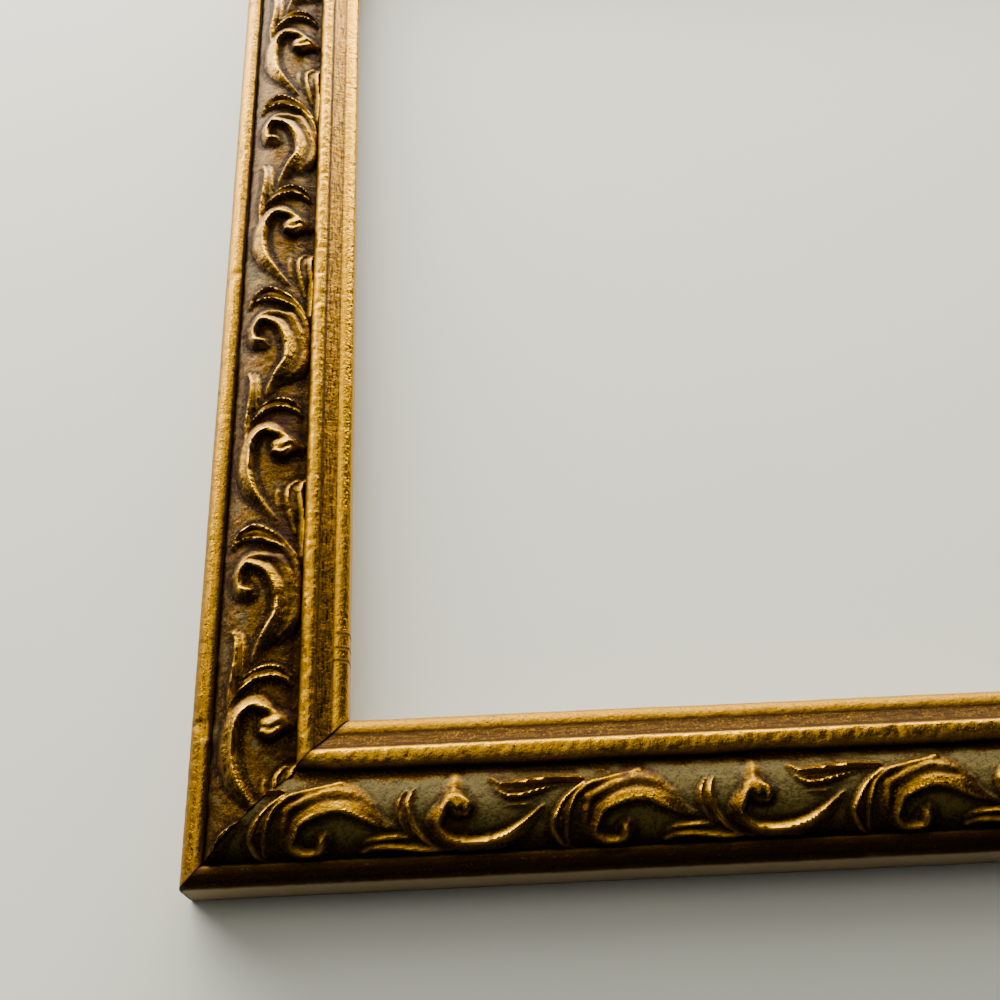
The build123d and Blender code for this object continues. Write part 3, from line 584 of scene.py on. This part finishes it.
# Bronze leaf laid on red bole, toned and rubbed: metal that is bright where hands touch it and where a highlight
# is painted, and dull olive and brown in its hollows, where shade is painted too. The masks of wear and painted
# light are red for rub and painted highlight, green for grime and painted shade, blue for paint or ground, and
# alpha for bole.
def agedLeaf(name, finish):
    material, tree = newMaterial(name)
    place = addNode(tree, "TexCoord", {}).outputs["Object"]
    band = addNode(tree, "UVMap", {"uv_map": "band"}).outputs[0]
    wear = addNode(tree, "Attribute", {"attribute_name": "wear"})
    rubAndHighlight, grimeAndShade, painted = addNode(tree, "SeparateColor", {0: wear.outputs["Color"]}).outputs
    bole = wear.outputs["Alpha"]

    # specks, crinkles and blotches all ways, and streaks along the rail
    fine = addNode(tree, "TexNoise", {
        "Vector": place, "Scale": perMm(finish["speck"]), "Detail": 3, "Roughness": 0.65}).outputs[0]
    middle = addNode(tree, "TexNoise", {
        "Vector": place, "Scale": perMm(finish["crinkle"]), "Detail": 3, "Roughness": 0.65}).outputs[0]
    broad = addNode(tree, "TexNoise", {
        "Vector": place, "Scale": perMm(finish["blotch"]), "Detail": 2, "Roughness": 0.5}).outputs[0]
    stretched = addNode(tree, "Mapping", {"Vector": band, "Scale": (0.12, 1, 1)}).outputs[0]
    streaks = addNode(tree, "TexNoise", {
        "Vector": stretched, "Scale": perMm(finish["streakSize"]), "Detail": 4, "Roughness": 0.6}).outputs[0]
    speck = addNode(tree, "Mix", {0: 0.4, 2: fine, 3: middle}).outputs[0]
    tone = addNode(tree, "Mix", {0: finish["streak"], 2: speck, 3: streaks}).outputs[0]
    leafStops = [(at, leafColours[key]) for at, key in zip(finish["steps"], finish["leaf"])]
    leaf = addNode(tree, "ValToRGB", {"Fac": tone, "stops": leafStops}).outputs[0]

    # the grime and painted shade is uneven, broken by clean flecks, and dragged along the streaks
    uneven = addNode(tree, "Math", {"operation": "MULTIPLY_ADD", 0: middle, 1: 0.9, 2: 0.6}).outputs[0]
    shade = addNode(tree, "Math", {"operation": "MULTIPLY", "use_clamp": True, 0: grimeAndShade, 1: uneven}).outputs[0]
    flecks = addNode(tree, "ValToRGB", {
        "Fac": fine, "stops": [(0.54, 1.0), (0.64, 1 - finish["flecks"])]}).outputs[0]
    shade = addNode(tree, "Math", {"operation": "MULTIPLY", 0: shade, 1: flecks}).outputs[0]
    dragged = addNode(tree, "ValToRGB", {
        "Fac": streaks, "stops": [(0.40, 0.0), (0.62, finish["streak"])]}).outputs[0]
    shade = addNode(tree, "Math", {
        "operation": "MULTIPLY_ADD", "use_clamp": True, 0: dragged, 1: grimeAndShade, 2: shade}).outputs[0]
    blotches = addNode(tree, "Mix", {0: 0.5, 2: fine, 3: broad}).outputs[0]
    spots = addNode(tree, "ValToRGB", {
        "Fac": blotches, "stops": [(0.56, 0.0), (0.66, finish["spots"])]}).outputs[0]
    unbroken = addNode(tree, "ValToRGB", {"Fac": fine, "stops": [(0.28, 0.0), (0.44, 1.0)]}).outputs[0]
    polishAndHighlight = addNode(tree, "Math", {"operation": "MULTIPLY", "use_clamp": True, 0: rubAndHighlight, 1: unbroken}).outputs[0]

    # each layer of colour lies over the one before
    ground = leafColours["paint"]
    if finish["ground"]:
        ground = addNode(tree, "ValToRGB", {
            "Fac": speck, "stops": [(0.38, leafColours["oliveDark"]), (0.52, leafColours["olive"])]}).outputs[0]
    colour = leaf
    for cover, layer in (
        (shade, leafColours[finish["shadeAndToning"]]), (spots, leafColours["umber"]), (polishAndHighlight, leafColours["rubAndHighlight"]),
        (painted, ground), (bole, leafColours["bole"]),
    ):
        colour = addNode(tree, "Mix", {"data_type": "RGBA", 0: cover, 6: colour, 7: layer}).outputs[2]

    # paint, ground and bole are no metal, and grime and painted shade lie over it as a film
    bare = addNode(tree, "Math", {"operation": "MAXIMUM", 0: painted, 1: bole}).outputs[0]
    film = addNode(tree, "Math", {"operation": "MULTIPLY", 0: shade, 1: finish["film"]}).outputs[0]
    dull = addNode(tree, "Math", {"operation": "MAXIMUM", 0: bare, 1: film}).outputs[0]
    metallic = addNode(tree, "Math", {"operation": "SUBTRACT", "use_clamp": True, 0: 1.0, 1: dull}).outputs[0]
    matt = addNode(tree, "Math", {"operation": "MAXIMUM", 0: dull, 1: shade}).outputs[0]
    rough = finish["rough"]
    for mask, change in ((fine, "roughGrain"), (polishAndHighlight, "roughPolishAndHighlight"), (matt, "roughGrimeAndShade")):
        rough = addNode(tree, "Math", {
            "operation": "MULTIPLY_ADD", 0: mask, 1: finish[change], 2: rough}).outputs[0]
    relief = addNode(tree, "Math", {"operation": "MULTIPLY_ADD", 0: fine, 1: 0.5, 2: middle}).outputs[0]
    bump = addNode(tree, "Bump", {"Strength": finish["bump"], "Distance": 0.4 * mm, "Height": relief}).outputs[0]
    shader = addNode(tree, "BsdfPrincipled", {
        "Base Color": colour, "Metallic": metallic, "Roughness": rough, "Normal": bump,
        "Specular IOR Level": 0.14,  # the bole and the ground are matt, and hardly mirror the window
    })
    addNode(tree, "OutputMaterial", {"Surface": shader.outputs[0]})
    return material


plainLeaf = agedLeaf("rubbed bronze leaf on gesso", leafFinish["plain"])
pressedLeaf = agedLeaf("rubbed bronze leaf on pressed composition", leafFinish["pressed"])
for pieces, leaf in ((skins, plainLeaf), (scrolls, pressedLeaf)):
    for piece in pieces.values():
        piece.data.materials.clear()
        piece.data.materials.append(leaf)


# Sizes in millimetres: growth rings, and fibres, which are really about a tenth as wide but wouldn't show
woodFinish = {
    "ring": 2.2, "fibre": 0.5, "stretch": 0.06, "tones": [(0.35, "#a9814f"), (0.5, "#c9a673"), (0.66, "#8f6a3e")],
    "lateWood": "#6e4d2b", "boleAndGapShade": "#2a120c", "darkFrom": 6.9, "darkOver": 7.2, "roughness": 0.72,
}


# Planed softwood of the rails, pale and matt with darker late wood, and dark red-brown above the rabbet, where
# bole ran into the mitres and painted shade darkens the mitre gaps
def planedWood(name, alongX):
    finish = woodFinish
    material, tree = newMaterial(name)
    place = addNode(tree, "TexCoord", {}).outputs["Object"]
    stretch = (finish["stretch"], 1, 1) if alongX else (1, finish["stretch"], 1)
    grain = addNode(tree, "Mapping", {"Vector": place, "Scale": stretch}).outputs[0]
    rings = addNode(tree, "TexNoise", {
        "Vector": grain, "Scale": perMm(finish["ring"]), "Detail": 3, "Roughness": 0.55,
        "Distortion": 0.4}).outputs[0]
    fibre = addNode(tree, "TexNoise", {
        "Vector": grain, "Scale": perMm(finish["fibre"]), "Detail": 4, "Roughness": 0.6}).outputs[0]
    wood = addNode(tree, "ValToRGB", {"Fac": rings, "stops": finish["tones"]}).outputs[0]
    late = addNode(tree, "Math", {"operation": "MULTIPLY", 0: fibre, 1: 0.45}).outputs[0]
    height = addNode(tree, "SeparateXYZ", {0: place}).outputs[2]
    boleAndGapMask = addNode(tree, "MapRange", {
        "From Min": finish["darkFrom"] * mm, "From Max": finish["darkOver"] * mm, "Value": height}).outputs[0]
    for cover, layer in ((late, finish["lateWood"]), (boleAndGapMask, finish["boleAndGapShade"])):
        wood = addNode(tree, "Mix", {"data_type": "RGBA", 0: cover, 6: wood, 7: layer}).outputs[2]
    bump = addNode(tree, "Bump", {"Strength": 0.35, "Distance": 0.2 * mm, "Height": fibre}).outputs[0]
    shader = addNode(tree, "BsdfPrincipled", {
        "Roughness": finish["roughness"], "Base Color": wood, "Normal": bump})
    addNode(tree, "OutputMaterial", {"Surface": shader.outputs[0]})
    return material


# Sizes in millimetres: clouds of tarnish, and scratches, which are drawn coarser than the real ones so that they
# show
fittingFinish = {
    "nickel": {"name": "nickel plated steel, lightly tarnished", "colour": "#b9b4a8", "tarnish": "#7d776b",
               "rough": 0.22, "scratch": 0.25, "cloud": 3},
    "brass": {"name": "stamped brass, dulled", "colour": "#c9a04e", "tarnish": "#7a5a28",
              "rough": 0.26, "scratch": 0.3, "cloud": 3},
    "steel": {"name": "bright steel strip", "colour": "#a5a6a8", "tarnish": "#6b625a",
              "rough": 0.3, "scratch": 0.25, "cloud": 3},
}


# Plated or drawn metal of the fittings, shiny with soft scratches one way and clouds of tarnish
def fittingMetal(finish):
    material, tree = newMaterial(finish["name"])
    place = addNode(tree, "TexCoord", {}).outputs["Object"]
    brushed = addNode(tree, "Mapping", {"Vector": place, "Scale": (0.1, 1, 1)}).outputs[0]
    lines = addNode(tree, "TexNoise", {
        "Vector": brushed, "Scale": perMm(finish["scratch"]), "Detail": 4, "Roughness": 0.6}).outputs[0]
    clouds = addNode(tree, "TexNoise", {
        "Vector": place, "Scale": perMm(finish["cloud"]), "Detail": 3, "Roughness": 0.6}).outputs[0]
    tarnish = addNode(tree, "ValToRGB", {"Fac": clouds, "stops": [(0.48, 0.0), (0.72, 0.8)]}).outputs[0]
    tint = addNode(tree, "Mix", {
        "data_type": "RGBA", 0: tarnish, 6: finish["colour"], 7: finish["tarnish"]}).outputs[2]
    rough = addNode(tree, "Math", {"operation": "MULTIPLY_ADD", 0: lines, 1: 0.22, 2: finish["rough"]}).outputs[0]
    bump = addNode(tree, "Bump", {"Strength": 0.2, "Distance": 0.08 * mm, "Height": lines}).outputs[0]
    shader = addNode(tree, "BsdfPrincipled", {
        "Metallic": 1.0, "Base Color": tint, "Roughness": rough, "Normal": bump})
    addNode(tree, "OutputMaterial", {"Surface": shader.outputs[0]})
    return material


def dress(node, material):
    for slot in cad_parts[node].material_slots:
        slot.material = material


shortPine = planedWood("planed pine along the short rails", True)
longPine = planedWood("planed pine along the long rails", False)
nickel, brass, steel = (fittingMetal(fittingFinish[metal]) for metal in ("nickel", "brass", "steel"))
for side in railPlan:
    dress(side + "_rail", shortPine if side in ("bottom", "top") else longPine)
    dress(side + "_turn_button", brass)
    dress(side + "_button_screw", brass)
for hand in ("left", "right"):
    for part in ("plate", "ring", "screws"):
        dress(hand + "_hanger_" + part, nickel)
for corner in ("bottom_left", "bottom_right", "top_right", "top_left"):
    dress(corner + "_v_nails", steel)
print("finishes given")


stagePlan = {
    "tableSize": 6.0, "tableTones": ("#eff0e5", "#f3f4ea"), "tableClouds": 60,  # metres, colours, millimetres
    "world": "#8f959c", "worldStrength": 0.12, "daylight": "#fffdf0",
    # a wide window behind the frame, brightest low down, and a faint ceiling: name, place, size, brightness
    "panels": [
        ("window low", (-0.25, 1.20, 0.31), (2.8, 0.46), 28.0),
        ("window high", (-0.30, 1.05, 0.85), (2.2, 0.70), 3.2),
        ("ceiling", (-0.30, 0.35, 1.30), (1.3, 0.90), 1.6),
    ],
}

bpy.ops.mesh.primitive_plane_add(size=stagePlan["tableSize"], location=(0, 0, 0))
table = bpy.context.object
table.name = "table"

# Satin paint on a table top, nearly white and faintly cloudy
tablePaint, tableTree = newMaterial("pale painted table")
tablePlace = addNode(tableTree, "TexCoord", {}).outputs["Object"]
clouds = addNode(tableTree, "TexNoise", {
    "Vector": tablePlace, "Scale": perMm(stagePlan["tableClouds"]), "Detail": 2, "Roughness": 0.55}).outputs[0]
darker, paler = stagePlan["tableTones"]
tableTone = addNode(tableTree, "Mix", {"data_type": "RGBA", 0: clouds, 6: darker, 7: paler}).outputs[2]
tableShader = addNode(tableTree, "BsdfPrincipled", {"Roughness": 0.55, "Base Color": tableTone})
addNode(tableTree, "OutputMaterial", {"Surface": tableShader.outputs[0]})
table.data.materials.append(tablePaint)

for panelName, place, size, glow in stagePlan["panels"]:
    bpy.ops.object.light_add(type="AREA", location=place)
    panel = bpy.context.object
    panel.name = panelName
    panel.data.shape = "RECTANGLE"
    panel.data.color = hexColour(stagePlan["daylight"])[:3]
    panel.data.size, panel.data.size_y = size
    panel.data.energy = glow * math.pi * size[0] * size[1]
    panel.rotation_euler = panel.location.to_track_quat("Z", "Y").to_euler()

world = bpy.data.worlds.new("dim room")
bpy.context.scene.world = world
world.use_nodes = True
background = world.node_tree.nodes["Background"]
background.inputs[0].default_value = hexColour(stagePlan["world"])
background.inputs[1].default_value = stagePlan["worldStrength"]

# location in metres, turn in degrees, lens and film width in millimetres
cameraPlan = {"location": (-0.0707, -0.1929, 0.2258), "turn": (28.28, 0.26, -2.62), "lens": 43.2, "film": 36}
bpy.ops.object.camera_add(location=cameraPlan["location"], rotation=[math.radians(a) for a in cameraPlan["turn"]])
camera = bpy.context.object
camera.data.sensor_width = cameraPlan["film"]
camera.data.lens = cameraPlan["lens"]
camera.data.clip_start = 0.005
bpy.context.scene.camera = camera
print("stage set")
